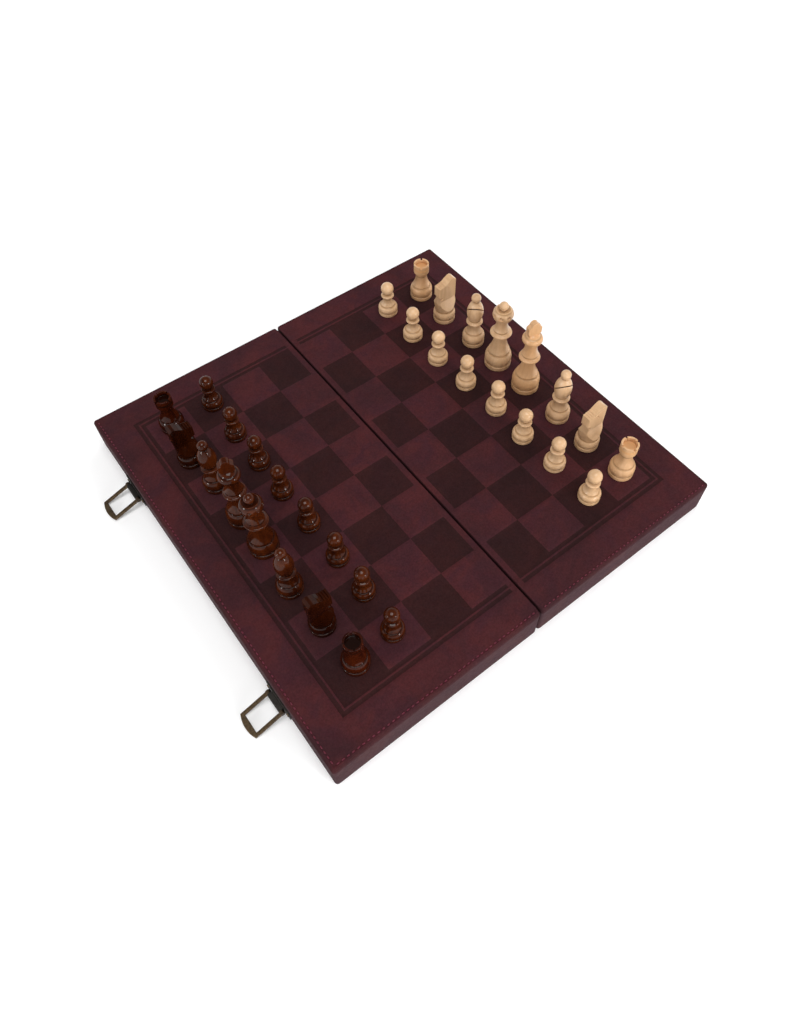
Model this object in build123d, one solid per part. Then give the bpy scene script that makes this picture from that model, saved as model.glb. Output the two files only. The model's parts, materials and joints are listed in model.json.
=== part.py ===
from build123d import *
import math
import os

# A folding chess case, open for play, with its thirty-two turned men set out.
# Both trays face down, so the outside of the case is the playing surface.
# +X runs from the dark side to the light side, +Y along the seam, +Z up.
# The rims lie at z = 0 and the origin is the middle of the whole footprint.

# Playing field and case
square = 36.0
squares_across = 8
margin = 31.0
half_height = 30.5
seam_gap = 1.3
wall_thickness = 7.0
panel_thickness = 4.0
leather_thickness = 0.8
lining_thickness = 0.8
rim_band_thickness = 0.8
case_corner_radius = 2.5
case_edge_radius = 0.7
glue_gap = 0.02

# Stamped pattern on the leather
stamp_depth = 0.2
frame_overlap = 1.1
frame_stripe = 3.1
frame_stripe_gap = 1.4

# Hinges
hinge_spread = 190.0
hinge_length = 24.0
knuckles = 5
knuckle_radius = 1.0
knuckle_side_gap = 0.15
hinge_pin_radius = 0.45
hinge_pin_clearance = 0.05
hinge_pin_overhang = 0.3
leaf_thickness = 0.5
leaf_height = 10.5
leaf_clearance = 0.25
leather_notch_height = 1.6
leather_notch_end_gap = 0.6
hinge_screw_spread = 14.0
hinge_screw_height = 7.5
hinge_screw_head_radius = 1.6
hinge_screw_radius = 0.9
hinge_screw_length = 6.0
screw_fit = 0.02

# Latches
latch_spread = 214.6
barrel_height = 9.0
plate_width = 29.0
plate_height = 12.0
plate_thickness = 1.0
plate_corner_radius = 1.2
barrel_radius = 1.9
barrel_stand_off = 0.3
bail_width = 20.6
bail_bar_width = 2.8
bail_thickness = 2.2
bail_opening_reach = 21.5
bail_shoulder_reach = 23.6
bail_reach = 26.0
bail_rounding = 0.7
bail_side_clearance = 0.2
bail_floor_clearance = 0.1
latch_pin_radius = 0.8
latch_pin_clearance = 0.05
latch_screw_spread = 24.8
latch_screw_head_radius = 1.5
latch_screw_head_height = 0.7
latch_screw_radius = 0.8
latch_screw_length = 6.0
screw_slot_width = 0.4
screw_slot_depth = 0.35

# Catches
catch_plate_height = 11.0
catch_width_clearance = 0.6
catch_plate_thickness = 1.0
catch_nose_reach = 4.8
catch_nose_thickness = 2.6
catch_bar_gap = 0.25
catch_screw_spread = 8.0
catch_screw_drop = 3.2
catch_corner_radius = 0.8

# Turned foot shared by the men
foot_groove_depth = 0.8
foot_groove_width = 0.5
foot_edge = 0.5
bell_step = 0.5
turned_corner = 0.25

# Pawn
pawn_foot_radius = 8.5
pawn_foot_height = 3.1
pawn_body_radius = 8.6
pawn_body_height = 6.0
pawn_ledge_radius = 6.6
pawn_neck_radius = 3.5
pawn_bell_height = 7.2
pawn_collar_radius = 5.7
pawn_collar_height = 5.4
pawn_ball_radius = 5.6
pawn_ball_sink = 0.35

# Rook
rook_foot_radius = 9.8
rook_foot_height = 3.7
rook_body_radius = 10.0
rook_body_height = 8.5
rook_ledge_radius = 8.1
rook_neck_radius = 4.9
rook_bell_height = 11.7
rook_flare_height = 3.7
rook_head_radius = 6.8
rook_head_height = 8.6
rook_wall = 1.4
rook_recess_depth = 4.3
rook_notches = 4
rook_notch_width = 1.7
rook_notch_depth = 2.2

# Bishop
bishop_foot_radius = 9.6
bishop_foot_height = 3.7
bishop_body_radius = 9.7
bishop_body_height = 8.5
bishop_ledge_radius = 7.5
bishop_neck_radius = 4.4
bishop_bell_height = 8.9
bishop_collar_radius = 7.1
bishop_collar_height = 4.8
bishop_ring_radius = 5.3
bishop_ring_height = 1.2
bishop_mitre_radius = 7.0
bishop_mitre_height = 19.3
bishop_ball_radius = 4.1
bishop_ball_sink = 0.8
bishop_slit_width = 0.9
bishop_slit_depth = 8.3
bishop_slit_height = 7.5
bishop_slit_tilt = 48.0

# Knight
knight_foot_radius = 9.6
knight_foot_height = 3.7
knight_body_radius = 9.7
knight_body_height = 7.4
knight_ledge_radius = 8.3
knight_head_height = 33.4
knight_head_thickness = 7.5
knight_blank_radius = 9.4
knight_cheek_height = 12.9
knight_brow_cuts = 3
knight_brow_cut_size = 0.8
knight_eye_radius = 0.9
knight_eye_depth = 0.5

# Queen
queen_foot_radius = 11.3
queen_foot_height = 4.3
queen_body_radius = 11.4
queen_body_height = 10.4
queen_ledge_radius = 9.5
queen_neck_radius = 5.0
queen_bell_height = 18.3
queen_collar_radius = 9.1
queen_collar_height = 5.8
queen_ring_radius = 6.7
queen_ring_height = 1.6
queen_stem_radius = 5.5
queen_stem_height = 10.3
queen_crown_radius = 8.6
queen_crown_height = 11.4
queen_crown_rim_radius = 5.9
queen_dish_depth = 0.8
queen_ball_radius = 3.9
queen_ball_sink = 0.7
queen_scallops = 8
queen_scallop_radius = 1.8
queen_scallop_height = 6.8

# King
king_foot_radius = 11.4
king_foot_height = 4.5
king_body_radius = 11.5
king_body_height = 11.2
king_ledge_radius = 9.5
king_neck_radius = 5.0
king_bell_height = 16.0
king_collar_radius = 8.7
king_collar_height = 6.2
king_ring_radius = 6.8
king_ring_height = 1.6
king_stem_radius = 5.7
king_stem_height = 12.7
king_crown_radius = 8.3
king_crown_height = 6.8
king_dome_radius = 6.0
king_dome_height = 2.3
king_cross_width = 11.2
king_cross_thickness = 5.1
king_cross_height = 13.7
king_cross_sink = 1.7
king_cross_waist = 6.5
king_cross_arm_height = 7.8

# How far each man stands off the middle of its square, in mm, and how far it is turned, in degrees.
# The men of a rank run from the front edge to the back.
light_rank_places = [
    (2.8, 1.5, 72),
    (1.0, 1.6, 180),
    (2.1, 0.4, 246),
    (3.3, 5.1, -15),
    (2.5, 3.2, 15),
    (2.0, -0.5, 227),
    (0.1, 1.9, 180),
    (2.0, 1.9, 52),
]
light_pawn_places = [
    (2.5, -0.1, 0),
    (2.3, 1.9, 0),
    (0.9, 1.5, 0),
    (3.1, 0.5, 0),
    (0.9, 0.8, 0),
    (-0.6, 0.8, 0),
    (-0.5, 0.4, 0),
    (0.6, 2.8, 0),
]
dark_rank_places = [
    (3.5, 0.5, 66),
    (1.0, 0.7, 0),
    (-1.5, 2.0, 73),
    (1.3, 6.1, 30),
    (2.0, 1.3, -20),
    (0.8, 3.3, 78),
    (-3.4, 0.2, 0),
    (1.2, 2.9, 20),
]
dark_pawn_places = [
    (0.0, 3.1, 0),
    (1.8, 3.7, 0),
    (2.5, 1.1, 0),
    (1.9, 1.8, 0),
    (1.3, 2.0, 0),
    (1.7, 0.5, 0),
    (1.0, 0.0, 0),
    (2.0, 3.4, 0),
]

# Worked out from the sizes above
cut = 1.0
field_length = squares_across * square
half_width = field_length / 2 + margin
case_length = field_length + 2 * margin
inner_face = seam_gap / 2
outer_face = inner_face + half_width
wood_top = half_height - leather_thickness
panel_bottom = wood_top - panel_thickness
latch_axis_out = plate_thickness + barrel_stand_off + barrel_radius
latch_axis_x = -(outer_face + latch_axis_out)
bail_drop = barrel_height - bail_thickness / 2 - bail_floor_clearance
bail_rest_angle = math.degrees(math.asin(bail_drop / bail_reach))
left_reach = -latch_axis_x + bail_reach * math.cos(math.radians(bail_rest_angle))
right_reach = outer_face + catch_nose_reach
seam_x = (left_reach - right_reach) / 2


def block(x0, x1, y0, y1, z0, z1):
    """A box between two corners."""
    middle = ((x0 + x1) / 2, (y0 + y1) / 2, (z0 + z1) / 2)
    return Pos(*middle) * Box(x1 - x0, y1 - y0, z1 - z0)


def rod(radius, length, middle, turn):
    """A cylinder centred on a point, turned from +Z."""
    return Pos(*middle) * Rot(*turn) * Cylinder(radius, length)


def along_x(radius, x0, x1, y, z):
    return rod(radius, x1 - x0, ((x0 + x1) / 2, y, z), (0, 90, 0))


def along_y(radius, y0, y1, x, z):
    return rod(radius, y1 - y0, (x, (y0 + y1) / 2, z), (90, 0, 0))


def merged(shapes):
    """Touching shapes as one solid."""
    whole = shapes[0]
    for shape in shapes[1:]:
        whole = whole + shape
    return whole.solids()[0] if len(whole.solids()) == 1 else whole


def save(name, shapes):
    """Writes the solids of one piece, or of a group of like pieces."""
    solids = [s for shape in shapes for s in shape.solids()]
    placed = [Pos(seam_x, 0, 0) * s for s in solids]
    whole = placed[0] if len(placed) == 1 else Compound(children=placed)
    export_step(whole, f"parts/{name}.step")


def turned(start, *moves, rounding=0.0):
    """A solid of revolution about Z. A move of two numbers is a straight line to (radius, height),
    and a move of four is an arc through the first pair to the second. Corners off the axis are rounded."""
    edges = []
    here = Vector(start[0], 0, start[1])
    for move in moves:
        there = Vector(move[-2], 0, move[-1])
        if len(move) == 4:
            edges.append(Edge.make_three_point_arc(here, Vector(move[0], 0, move[1]), there))
        else:
            edges.append(Edge.make_line(here, there))
        here = there
    edges.append(Edge.make_line(here, Vector(start[0], 0, start[1])))
    outline = Face(Wire(edges))
    if rounding:
        corners = [corner for corner in outline.vertices() if corner.X > rounding]
        outline = outline.fillet_2d(rounding, corners)
    return revolve(outline, Axis.Z, 360)


# Case


def screw_places(spread):
    return [-spread / 2, spread / 2]


def hinge_screw_holes(radius, depth):
    """Holes from the seam side of the left half."""
    holes = []
    for hinge_y in screw_places(hinge_spread):
        for dy in screw_places(hinge_screw_spread):
            start = -inner_face + leaf_thickness
            holes.append(along_x(radius, start - depth, start, hinge_y + dy, hinge_screw_height))
    return holes


def latch_screw_holes(radius, depth):
    """Holes from the outer face of the left half."""
    holes = []
    for latch_y in screw_places(latch_spread):
        for dy in screw_places(latch_screw_spread):
            start = -outer_face - plate_thickness
            holes.append(along_x(radius, start, start + depth, latch_y + dy, barrel_height))
    return holes


def catch_center_height():
    """Height of the catch nose over its own rim, just inside the hooked bar of the hanging bail."""
    return bail_opening_reach - barrel_height - catch_bar_gap - catch_nose_thickness / 2


def catch_screw_holes(radius, depth):
    """Holes from the outer face of the right half."""
    holes = []
    height = catch_center_height() + catch_screw_drop
    for latch_y in screw_places(latch_spread):
        for dy in screw_places(catch_screw_spread):
            start = outer_face + catch_plate_thickness
            holes.append(along_x(radius, start - depth, start, latch_y + dy, height))
    return holes


def wood_outline(height_from, height_to):
    """The block that the wooden walls of the left half fill."""
    reach = leather_thickness
    body = block(
        -outer_face + reach,
        -inner_face - reach,
        -case_length / 2 + reach,
        case_length / 2 - reach,
        height_from,
        height_to,
    )
    corner = max(case_corner_radius - leather_thickness, 0.2)
    return fillet(body.edges().filter_by(Axis.Z), corner)


def cavity(height_from, height_to, inset):
    """The room inside the walls of the left half, made smaller all round by inset."""
    reach = leather_thickness + wall_thickness + inset
    return block(
        -outer_face + reach,
        -inner_face - reach,
        -case_length / 2 + reach,
        case_length / 2 - reach,
        height_from,
        height_to,
    )


def walls():
    """The four wooden walls of the left half: two long ones, and two short ones between them."""
    ring = wood_outline(rim_band_thickness, panel_bottom) - cavity(0, half_height, 0)
    reach = leather_thickness + wall_thickness
    short = block(
        -outer_face + reach,
        -inner_face - reach,
        -case_length,
        case_length,
        0,
        half_height,
    )
    drilled = ring
    hinge_depth = leaf_thickness + hinge_screw_length
    for hole in hinge_screw_holes(hinge_screw_radius + screw_fit, hinge_depth):
        drilled = drilled - hole
    long_walls = drilled - short
    return long_walls, ring & short


def latch_drilled(shape):
    for hole in latch_screw_holes(latch_screw_radius + screw_fit, plate_thickness + latch_screw_length):
        shape = shape - hole
    return shape


def catch_drilled(shape):
    depth = catch_plate_thickness + latch_screw_length
    for hole in catch_screw_holes(latch_screw_radius + screw_fit, depth):
        shape = shape - hole
    return shape


def panel():
    """The board that carries the playing surface."""
    return wood_outline(panel_bottom, wood_top)


def rim_band():
    """Leather turned in under the walls, on which the case stands."""
    return wood_outline(0, rim_band_thickness) - cavity(-cut, half_height, 0)


def lining():
    """Cloth on the inside of the walls and of the panel."""
    outside = cavity(rim_band_thickness, panel_bottom, 0)
    inside = cavity(-cut, panel_bottom - lining_thickness, lining_thickness)
    return outside - inside


def frame_stripes(top, depth):
    """Two stripes round the playing field, open at the seam. The inner one covers the field's edge."""
    stripes = []
    near = -frame_overlap
    for _ in range(2):
        far = near + frame_stripe
        reach_x = inner_face + field_length / 2
        reach_y = field_length / 2
        outside = block(-reach_x - far, -inner_face, -reach_y - far, reach_y + far, top - depth, top)
        inside = block(-reach_x - near, 0, -reach_y - near, reach_y + near, top - depth - cut, top + cut)
        stripes.append(outside - inside)
        near = far + frame_stripe_gap
    return stripes


def stamps(start):
    """Dark dyed and pressed squares of one half, with the frame round them. start picks the colour
    of the corner square."""
    top = half_height
    pieces = frame_stripes(top, stamp_depth)
    edge_x = -inner_face - field_length / 2
    edge_y = field_length / 2 - frame_overlap
    for i in range(squares_across // 2):
        for j in range(squares_across):
            if (i + j) % 2 == start:
                x0 = edge_x + i * square
                y0 = -field_length / 2 + j * square
                pieces.append(
                    block(
                        max(x0, edge_x + frame_overlap) + glue_gap,
                        x0 + square - glue_gap,
                        max(y0, -edge_y) + glue_gap,
                        min(y0 + square, edge_y) - glue_gap,
                        top - stamp_depth,
                        top,
                    )
                )
    return pieces


def cover(start):
    """Leather over the top and the four sides of the left half, with room for the stamped squares."""
    skin = block(
        -outer_face,
        -inner_face,
        -case_length / 2,
        case_length / 2,
        0,
        half_height,
    )
    skin = fillet(skin.edges().filter_by(Axis.Z), case_corner_radius)
    skin = fillet(skin.faces().sort_by(Axis.Z)[-1].edges(), case_edge_radius)
    skin = skin - wood_outline(-cut, wood_top)
    for piece in stamps(start):
        skin = skin - piece
    reach = hinge_length / 2 + leather_notch_end_gap
    for hinge_y in screw_places(hinge_spread):
        notch = block(
            -inner_face - leather_thickness,
            0,
            hinge_y - reach,
            hinge_y + reach,
            -cut,
            leather_notch_height,
        )
        skin = skin - notch
    for hole in hinge_screw_holes(hinge_screw_radius + screw_fit, leaf_thickness + hinge_screw_length):
        skin = skin - hole
    return skin


# Hinges


def knuckle_spans(side):
    """Where the knuckles of one leaf lie along the hinge: side 0 is the left leaf, side 1 the right."""
    pitch = hinge_length / knuckles
    spans = []
    for k in range(knuckles):
        if k % 2 == side:
            start = -hinge_length / 2 + k * pitch
            spans.append((start + knuckle_side_gap / 2, start + pitch - knuckle_side_gap / 2))
    return spans


def hinge_leaf(side):
    """A leaf on the seam face of the left half, with its knuckles round the pin."""
    x0 = -inner_face
    x1 = -inner_face + leaf_thickness
    low = knuckle_radius + leaf_clearance
    plate = block(x0, x1, -hinge_length / 2, hinge_length / 2, low, low + leaf_height)
    pieces = [plate]
    for y0, y1 in knuckle_spans(side):
        pieces.append(block(x0, x1, y0, y1, 0, low + leaf_thickness))
        pieces.append(along_y(knuckle_radius, y0, y1, 0, 0))
    leaf = merged(pieces)
    bore = hinge_pin_radius + hinge_pin_clearance
    leaf = leaf - along_y(bore, -hinge_length, hinge_length, 0, 0)
    for dy in screw_places(hinge_screw_spread):
        head = hinge_screw_head(x1, dy, screw_fit)
        leaf = leaf - head
    return leaf


def hinge_screw_head(face, y, spare):
    """A countersunk head that ends flush with the leaf's free face."""
    depth = leaf_thickness
    cone = Cone(hinge_screw_radius + spare, hinge_screw_head_radius + spare, depth)
    return Pos(face - depth / 2, y, hinge_screw_height) * Rot(0, 90, 0) * cone


def hinge_screw():
    """A countersunk wood screw in the left half's seam wall, at the middle of the hinge."""
    face = -inner_face + leaf_thickness
    end = face - hinge_screw_length
    shank = along_x(hinge_screw_radius, end, face - leaf_thickness, 0, hinge_screw_height)
    return merged([hinge_screw_head(face, 0, 0), shank])


def hinge_pin():
    reach = hinge_length / 2 + hinge_pin_overhang
    return along_y(hinge_pin_radius, -reach, reach, 0, 0)


# Latches


def latch_plate():
    """A plate with the barrel that carries the bail's pin, on the outer face of the left half."""
    x0 = -outer_face - plate_thickness
    base = block(
        x0,
        -outer_face,
        -plate_width / 2,
        plate_width / 2,
        barrel_height - plate_height / 2,
        barrel_height + plate_height / 2,
    )
    base = fillet(base.edges().filter_by(Axis.X), plate_corner_radius)
    barrel_half = bail_width / 2 - bail_bar_width - bail_side_clearance
    barrel = along_y(barrel_radius, -barrel_half, barrel_half, latch_axis_x, barrel_height)
    web = block(
        latch_axis_x,
        x0,
        -barrel_half,
        barrel_half,
        barrel_height - barrel_radius,
        barrel_height + barrel_radius,
    )
    plate = merged([base, web, barrel])
    bore = latch_pin_radius + screw_fit
    plate = plate - along_y(bore, -bail_width, bail_width, latch_axis_x, barrel_height)
    for dy in screw_places(latch_screw_spread):
        hole = along_x(latch_screw_radius + screw_fit, x0 - cut, -outer_face + cut, dy, barrel_height)
        plate = plate - hole
    return plate


def bail():
    """A loop that hooks over the catch, drawn lying flat and turned down until its end meets the table."""
    half = bail_width / 2
    shoulder = Vector(-bail_shoulder_reach, half, 0)
    other = Vector(-bail_shoulder_reach, -half, 0)
    outline = Wire(
        [
            Edge.make_line(Vector(0, -half, 0), Vector(0, half, 0)),
            Edge.make_line(Vector(0, half, 0), shoulder),
            Edge.make_three_point_arc(shoulder, Vector(-bail_reach, 0, 0), other),
            Edge.make_line(other, Vector(0, -half, 0)),
        ]
    )
    loop = extrude(Face(outline), bail_thickness / 2, dir=(0, 0, 1), both=True)
    inside = half - bail_bar_width
    loop = loop - block(-bail_opening_reach, cut, -inside, inside, -bail_thickness, bail_thickness)
    long_edges = [e for e in loop.edges() if abs(e.center().Z) > 0.4 * bail_thickness]
    loop = fillet([e for e in long_edges if e.center().X < -cut], bail_rounding)
    ears = [
        along_y(barrel_radius, -half, -inside, 0, 0),
        along_y(barrel_radius, inside, half, 0, 0),
    ]
    loop = merged([loop] + ears)
    loop = loop - along_y(latch_pin_radius + latch_pin_clearance, -half - cut, half + cut, 0, 0)
    return Pos(latch_axis_x, 0, barrel_height) * Rot(0, -bail_rest_angle, 0) * loop


def latch_pin():
    return along_y(latch_pin_radius, -bail_width / 2, bail_width / 2, latch_axis_x, barrel_height)


def slotted_screw(face, outward, y, z):
    """A round-headed wood screw whose head sits on a face that looks along outward, +1 or -1."""
    high = face + outward * latch_screw_head_height
    head = along_x(latch_screw_head_radius, min(face, high), max(face, high), y, z)
    circles = head.edges().filter_by(GeomType.CIRCLE)
    rim = [e for e in circles if abs(e.center().X - high) < 0.01]
    head = fillet(rim, latch_screw_head_height / 2)
    end = face - outward * latch_screw_length
    shank = along_x(latch_screw_radius, min(face, end), max(face, end), y, z)
    floor = high - outward * screw_slot_depth
    slot = block(
        min(floor, high + outward),
        max(floor, high + outward),
        y - 2 * latch_screw_head_radius,
        y + 2 * latch_screw_head_radius,
        z - screw_slot_width / 2,
        z + screw_slot_width / 2,
    )
    return merged([head, shank]) - slot


def catch():
    """A plate with a raised nose on the outer face of the right half, which the bail hooks behind."""
    x0 = outer_face
    x1 = outer_face + catch_plate_thickness
    half = bail_width / 2 - bail_bar_width - catch_width_clearance
    nose_height = catch_center_height()
    low = nose_height - catch_nose_thickness / 2
    plate = block(x0, x1, -half, half, low, low + catch_plate_height)
    plate = fillet(plate.edges().filter_by(Axis.X), catch_corner_radius)
    tip = outer_face + catch_nose_reach - catch_nose_thickness / 2
    nose = block(x0, tip, -half, half, low, low + catch_nose_thickness)
    end = along_y(catch_nose_thickness / 2, -half, half, tip, nose_height)
    whole = merged([plate, nose, end])
    for dy in screw_places(catch_screw_spread):
        height = nose_height + catch_screw_drop
        whole = whole - along_x(latch_screw_radius + screw_fit, x0 - cut, x1 + cut, dy, height)
    return whole


# Men


def foot_moves(foot_radius, foot_height, body_radius, body_height, ledge_radius, bell_radius):
    """The turned foot that all men share, from its underside up to where the bell starts."""
    groove = foot_radius - foot_groove_depth
    body_start = foot_height + foot_groove_width
    top = body_start + body_height
    return [
        (foot_radius - foot_edge, 0),
        (foot_radius, foot_edge),
        (foot_radius, foot_height - 2 * foot_edge),
        (foot_radius - foot_edge / 3, foot_height - foot_edge / 3, groove, foot_height),
        (groove, body_start),
        (body_radius, body_start + 0.42 * body_height, ledge_radius, top),
        (bell_radius, top),
    ]


def bell_moves(bell_radius, start, neck_radius, height):
    """A concave cone from the foot up to the neck."""
    shoulder = start + 0.12 * height
    fall = bell_radius - neck_radius
    return [
        (bell_radius, shoulder),
        (neck_radius + 0.3 * fall, start + 0.52 * height, neck_radius, start + height),
    ]


def collar_moves(collar_radius, start, height, top_radius):
    """A rounded ring whose underside slopes out from the neck."""
    edge = 0.16 * height
    return [
        (collar_radius - edge, start + 0.38 * height),
        (collar_radius, start + 0.6 * height, collar_radius - edge, start + 0.8 * height),
        (top_radius, start + height),
    ]


def ball_seat(radius, sink):
    """Radius of the circle where a ball sunk by sink meets what it sits on."""
    return math.sqrt(radius**2 - (radius - sink) ** 2)


def ball_moves(radius, start, sink):
    """A ball on top of a man, from its seat up to the axis."""
    middle = start + radius - sink
    return [(radius, middle, 0, middle + radius)]


def pawn():
    start = pawn_foot_height + foot_groove_width + pawn_body_height
    bell = pawn_ledge_radius - bell_step
    neck = start + pawn_bell_height
    collar_top = neck + pawn_collar_height
    moves = foot_moves(
        pawn_foot_radius, pawn_foot_height, pawn_body_radius, pawn_body_height, pawn_ledge_radius, bell
    )
    moves += bell_moves(bell, start, pawn_neck_radius, pawn_bell_height)
    seat = ball_seat(pawn_ball_radius, pawn_ball_sink)
    moves += collar_moves(pawn_collar_radius, neck, pawn_collar_height, seat)
    moves += ball_moves(pawn_ball_radius, collar_top, pawn_ball_sink)
    return turned((0, 0), *moves, rounding=turned_corner)


def rook():
    start = rook_foot_height + foot_groove_width + rook_body_height
    bell = rook_ledge_radius - bell_step
    neck = start + rook_bell_height
    head = neck + rook_flare_height
    top = head + rook_head_height
    moves = foot_moves(
        rook_foot_radius, rook_foot_height, rook_body_radius, rook_body_height, rook_ledge_radius, bell
    )
    moves += bell_moves(bell, start, rook_neck_radius, rook_bell_height)
    spread = rook_head_radius - rook_neck_radius
    moves += [
        (rook_neck_radius + 0.25 * spread, neck + 0.5 * rook_flare_height, rook_head_radius, head),
        (rook_head_radius, top),
        (rook_head_radius - rook_wall, top),
        (rook_head_radius - rook_wall, top - rook_recess_depth),
        (0, top - rook_recess_depth),
    ]
    whole = turned((0, 0), *moves, rounding=turned_corner)
    for k in range(rook_notches):
        angle = 360 * k / rook_notches
        slot = block(
            0,
            rook_head_radius + cut,
            -rook_notch_width / 2,
            rook_notch_width / 2,
            top - rook_notch_depth,
            top + cut,
        )
        whole = whole - Rot(0, 0, angle) * slot
    return whole


def bishop():
    start = bishop_foot_height + foot_groove_width + bishop_body_height
    bell = bishop_ledge_radius - bell_step
    neck = start + bishop_bell_height
    collar_top = neck + bishop_collar_height
    mitre = collar_top + bishop_ring_height
    mitre_top = mitre + bishop_mitre_height
    moves = foot_moves(
        bishop_foot_radius,
        bishop_foot_height,
        bishop_body_radius,
        bishop_body_height,
        bishop_ledge_radius,
        bell,
    )
    moves += bell_moves(bell, start, bishop_neck_radius, bishop_bell_height)
    moves += collar_moves(bishop_collar_radius, neck, bishop_collar_height, bishop_ring_radius)
    seat = ball_seat(bishop_ball_radius, bishop_ball_sink)
    low = mitre + 0.17 * bishop_mitre_height
    widest = mitre + 0.42 * bishop_mitre_height
    high = mitre + 0.76 * bishop_mitre_height
    moves += [
        (bishop_ring_radius, mitre),
        (bishop_mitre_radius - 0.5, low, bishop_mitre_radius, widest),
        (bishop_mitre_radius * 0.8, high, seat, mitre_top),
    ]
    moves += ball_moves(bishop_ball_radius, mitre_top, bishop_ball_sink)
    whole = turned((0, 0), *moves, rounding=turned_corner)
    size = 2 * bishop_mitre_radius
    slit = Pos(size / 2, 0, 0) * Box(size, 2 * size, bishop_slit_width)
    reach = bishop_mitre_radius - bishop_slit_depth
    place = Pos(reach, 0, mitre + bishop_slit_height) * Rot(0, -bishop_slit_tilt, 0)
    return whole - place * slit


def queen():
    start = queen_foot_height + foot_groove_width + queen_body_height
    bell = queen_ledge_radius - bell_step
    neck = start + queen_bell_height
    ring = neck + queen_collar_height
    stem = ring + queen_ring_height
    crown = stem + queen_stem_height
    rim = crown + queen_crown_height
    seat = ball_seat(queen_ball_radius, queen_ball_sink)
    moves = foot_moves(
        queen_foot_radius, queen_foot_height, queen_body_radius, queen_body_height, queen_ledge_radius, bell
    )
    moves += bell_moves(bell, start, queen_neck_radius, queen_bell_height)
    moves += collar_moves(queen_collar_radius, neck, queen_collar_height, queen_ring_radius)
    moves += [
        (queen_ring_radius, stem),
        (queen_stem_radius - 0.6, stem + 0.45 * queen_stem_height, queen_stem_radius, crown),
        (queen_crown_radius, crown + 0.5 * queen_crown_height, queen_crown_rim_radius, rim),
        (queen_crown_rim_radius - queen_dish_depth, rim - queen_dish_depth),
        (seat, rim - queen_dish_depth),
    ]
    moves += ball_moves(queen_ball_radius, rim - queen_dish_depth, queen_ball_sink)
    whole = turned((0, 0), *moves, rounding=turned_corner)
    for k in range(queen_scallops):
        cutter = Pos(queen_crown_radius, 0, crown + queen_scallop_height) * Sphere(queen_scallop_radius)
        whole = whole - Rot(0, 0, 360 * (k + 0.5) / queen_scallops) * cutter
    return whole


def king():
    start = king_foot_height + foot_groove_width + king_body_height
    bell = king_ledge_radius - bell_step
    neck = start + king_bell_height
    ring = neck + king_collar_height
    stem = ring + king_ring_height
    crown = stem + king_stem_height
    dome = crown + king_crown_height
    top = dome + king_dome_height
    moves = foot_moves(
        king_foot_radius, king_foot_height, king_body_radius, king_body_height, king_ledge_radius, bell
    )
    moves += bell_moves(bell, start, king_neck_radius, king_bell_height)
    moves += collar_moves(king_collar_radius, neck, king_collar_height, king_ring_radius)
    moves += [
        (king_ring_radius, stem),
        (king_stem_radius - 0.6, stem + 0.45 * king_stem_height, king_stem_radius, crown),
        (king_crown_radius, crown + 0.55 * king_crown_height, king_dome_radius, dome),
        (0.72 * king_dome_radius, dome + 0.72 * king_dome_height, 0, top),
    ]
    whole = turned((0, 0), *moves, rounding=turned_corner)
    return merged([whole, Pos(0, 0, top - king_cross_sink) * king_cross()])


def king_cross():
    """A flat cross with short arms and a rounded head, cut from one block."""
    half = king_cross_width / 2
    waist = king_cross_waist / 2
    arm = king_cross_arm_height / 2
    level = 0.55 * king_cross_height
    shoulder = level + 0.8 * arm
    arm_top = level + 0.3 * arm
    right = [(waist, 0), (half, level - arm), (half, arm_top), (waist, shoulder)]
    rising = [Vector(x, 0, z) for x, z in right]
    falling = [Vector(-x, 0, z) for x, z in reversed(right)]
    edges = [Edge.make_line(a, b) for a, b in zip(rising, rising[1:])]
    edges.append(Edge.make_three_point_arc(rising[-1], Vector(0, 0, king_cross_height), falling[0]))
    edges += [Edge.make_line(a, b) for a, b in zip(falling, falling[1:] + rising[:1])]
    cross = extrude(Face(Wire(edges)), king_cross_thickness / 2, dir=(0, 1, 0), both=True)
    return fillet(cross.edges().filter_by(Axis.Y, reverse=True), turned_corner)


def knight_brow():
    """The ends of the horse's forehead, as distances in front of the axis and above the ledge."""
    front = (0.94 * knight_blank_radius, 0.83 * knight_head_height)
    back = (0.14 * knight_blank_radius, 0.88 * knight_head_height)
    return front, back


def knight_profile(start):
    """The side view of a horse's head that looks along +X, from the ledge at height start."""
    tall = knight_head_height
    wide = knight_ledge_radius - bell_step
    reach = knight_blank_radius
    points = [
        (-wide, 0),
        (wide, 0),
        (wide + 0.9, 0.14 * tall),
        (wide + 0.8, 0.30 * tall),
        (0.72 * reach, 0.44 * tall),
        (0.52 * reach, 0.48 * tall),
        (0.58 * reach, 0.52 * tall),
        (0.92 * reach, 0.54 * tall),
        (reach, 0.60 * tall),
        *knight_brow(),
        (-0.08 * reach, 0.93 * tall),
        (-0.46 * reach, 0.99 * tall),
        (-0.70 * reach, tall),
        (-0.95 * reach, 0.95 * tall),
        (-0.97 * reach, 0.60 * tall),
        (-wide, 0.25 * tall),
    ]
    corners = [Vector(x, 0, start + z) for x, z in points]
    return Face(Wire.make_polygon(corners, close=True))


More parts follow.
